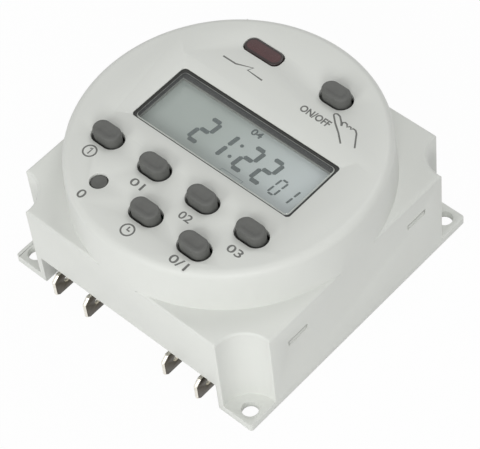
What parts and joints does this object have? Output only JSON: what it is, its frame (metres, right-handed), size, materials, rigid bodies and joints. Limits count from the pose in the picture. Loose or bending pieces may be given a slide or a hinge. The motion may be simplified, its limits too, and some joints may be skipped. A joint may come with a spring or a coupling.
{
  "type": "digital timer switch",
  "caption": "Square timer switch with a round raised face, liquid crystal display, push keys, corner screw ears and push-on terminal tabs.",
  "frame": {"origin": "centre of the mounting plane, midway between the four screw holes", "axes": "+X along the reading direction of the face, +Y up the face away from the terminals, +Z out of the face"},
  "size_m": [0.06, 0.0615, 0.0321],
  "materials": {
    "case_plastic": "moulded, pale warm grey, fine satin",
    "cover_plastic": "moulded, pale warm grey, satin",
    "window_plastic": "clear moulded window, polished",
    "lens_plastic": "dark red translucent",
    "key_plastic": "moulded, dark grey, matte",
    "reset_plastic": "moulded, dark grey, matte",
    "switch_plastic": "black moulded",
    "plunger_plastic": "tan moulded",
    "board_laminate": "green solder mask",
    "screw_steel": "zinc plated",
    "display_frame": "moulded, black",
    "display_glass": "display glass, grey green",
    "display_reflector": "pearly reflecting film",
    "display_pad": "foam pad",
    "contact_rubber": "layered conductive rubber",
    "chip_epoxy": "black epoxy",
    "crystal_can": "plated can",
    "led_epoxy": "red diffused",
    "tab_metal": "tinned brass, dull",
    "relay_shell": "dark blue moulded",
    "relay_base_plastic": "black moulded",
    "bobbin_plastic": "natural moulded",
    "winding_copper": "enamelled copper wire",
    "soft_iron": "plated soft iron",
    "contact_metal": "copper alloy with silver contacts",
    "lead_metal": "tinned wire",
    "film_capacitor_case": "yellow box",
    "can_sleeve": "dark sleeve on an aluminium can",
    "varistor_coat": "blue epoxy coat",
    "diode_epoxy": "black epoxy",
    "resistor_coat": "grey green lacquer",
    "cell_sleeve": "green sleeve on a nickel cell",
    "strap_nickel": "nickel strip",
    "header_plastic": "black moulded"
  },
  "bodies": {
    "case": {"front_housing": "case_plastic", "rear_cover": "cover_plastic", "display_window": "window_plastic", "indicator_lens": "lens_plastic", "switch_housings": "switch_plastic", "display_board": "board_laminate", "display_board_screws": "screw_steel", "lcd_frame": "display_frame", "lcd_front_glass": "display_glass", "lcd_rear_glass": "display_glass", "lcd_reflector": "display_reflector", "lcd_pad": "display_pad", "lcd_contact_strips": "contact_rubber", "controller_chip": "chip_epoxy", "timing_crystal": "crystal_can", "indicator_led": "led_epoxy", "power_board": "board_laminate", "power_board_screws": "screw_steel", "terminal_tab_1": "tab_metal", "terminal_tab_2": "tab_metal", "terminal_tab_3": "tab_metal", "terminal_tab_4": "tab_metal", "relay_base": "relay_base_plastic", "relay_cover": "relay_shell", "relay_bobbin": "bobbin_plastic", "relay_winding": "winding_copper", "relay_core": "soft_iron", "relay_yoke": "soft_iron", "relay_contact_open": "contact_metal", "relay_contact_closed": "contact_metal", "relay_coil_pins": "lead_metal", "dropper_capacitor": "film_capacitor_case", "smoothing_capacitor": "can_sleeve", "surge_varistor": "varistor_coat", "rectifier_diodes": "diode_epoxy", "fuse_resistor": "resistor_coat", "backup_cell": "cell_sleeve", "cell_straps": "strap_nickel", "link_header": "header_plastic", "link_pins": "lead_metal"},
    "key_program": {"key_program": "key_plastic", "plunger_program": "plunger_plastic"},
    "key_day": {"key_day": "key_plastic", "plunger_day": "plunger_plastic"},
    "key_hour": {"key_hour": "key_plastic", "plunger_hour": "plunger_plastic"},
    "key_minute": {"key_minute": "key_plastic", "plunger_minute": "plunger_plastic"},
    "key_clock": {"key_clock": "key_plastic", "plunger_clock": "plunger_plastic"},
    "key_recall": {"key_recall": "key_plastic", "plunger_recall": "plunger_plastic"},
    "key_manual": {"key_manual": "key_plastic", "plunger_manual": "plunger_plastic"},
    "key_reset": {"key_reset": "reset_plastic", "plunger_reset": "plunger_plastic"},
    "armature": {"relay_armature": "soft_iron", "relay_contact_leaf": "contact_metal"}
  },
  "joints": [
    {"name": "program_key_press", "type": "slide", "parent": "case", "child": "key_program", "axis": [0, 0, -1], "range_m": [0, 0.0005], "stiffness_N_per_m": 800},
    {"name": "day_key_press", "type": "slide", "parent": "case", "child": "key_day", "axis": [0, 0, -1], "range_m": [0, 0.0005], "stiffness_N_per_m": 800},
    {"name": "hour_key_press", "type": "slide", "parent": "case", "child": "key_hour", "axis": [0, 0, -1], "range_m": [0, 0.0005], "stiffness_N_per_m": 800},
    {"name": "minute_key_press", "type": "slide", "parent": "case", "child": "key_minute", "axis": [0, 0, -1], "range_m": [0, 0.0005], "stiffness_N_per_m": 800},
    {"name": "clock_key_press", "type": "slide", "parent": "case", "child": "key_clock", "axis": [0, 0, -1], "range_m": [0, 0.0005], "stiffness_N_per_m": 800},
    {"name": "recall_key_press", "type": "slide", "parent": "case", "child": "key_recall", "axis": [0, 0, -1], "range_m": [0, 0.0005], "stiffness_N_per_m": 800},
    {"name": "manual_key_press", "type": "slide", "parent": "case", "child": "key_manual", "axis": [0, 0, -1], "range_m": [0, 0.0005], "stiffness_N_per_m": 800},
    {"name": "reset_key_press", "type": "slide", "parent": "case", "child": "key_reset", "axis": [0, 0, -1], "range_m": [0, 0.0005], "stiffness_N_per_m": 800},
    {"name": "relay_armature_hinge", "type": "hinge", "parent": "case", "child": "armature", "pos_m": [0.0106, -0.01155, 0.0182], "axis": [0, 1, 0], "range_deg": [0, 4.3], "stiffness_Nm_per_rad": 0.02}
  ]
}
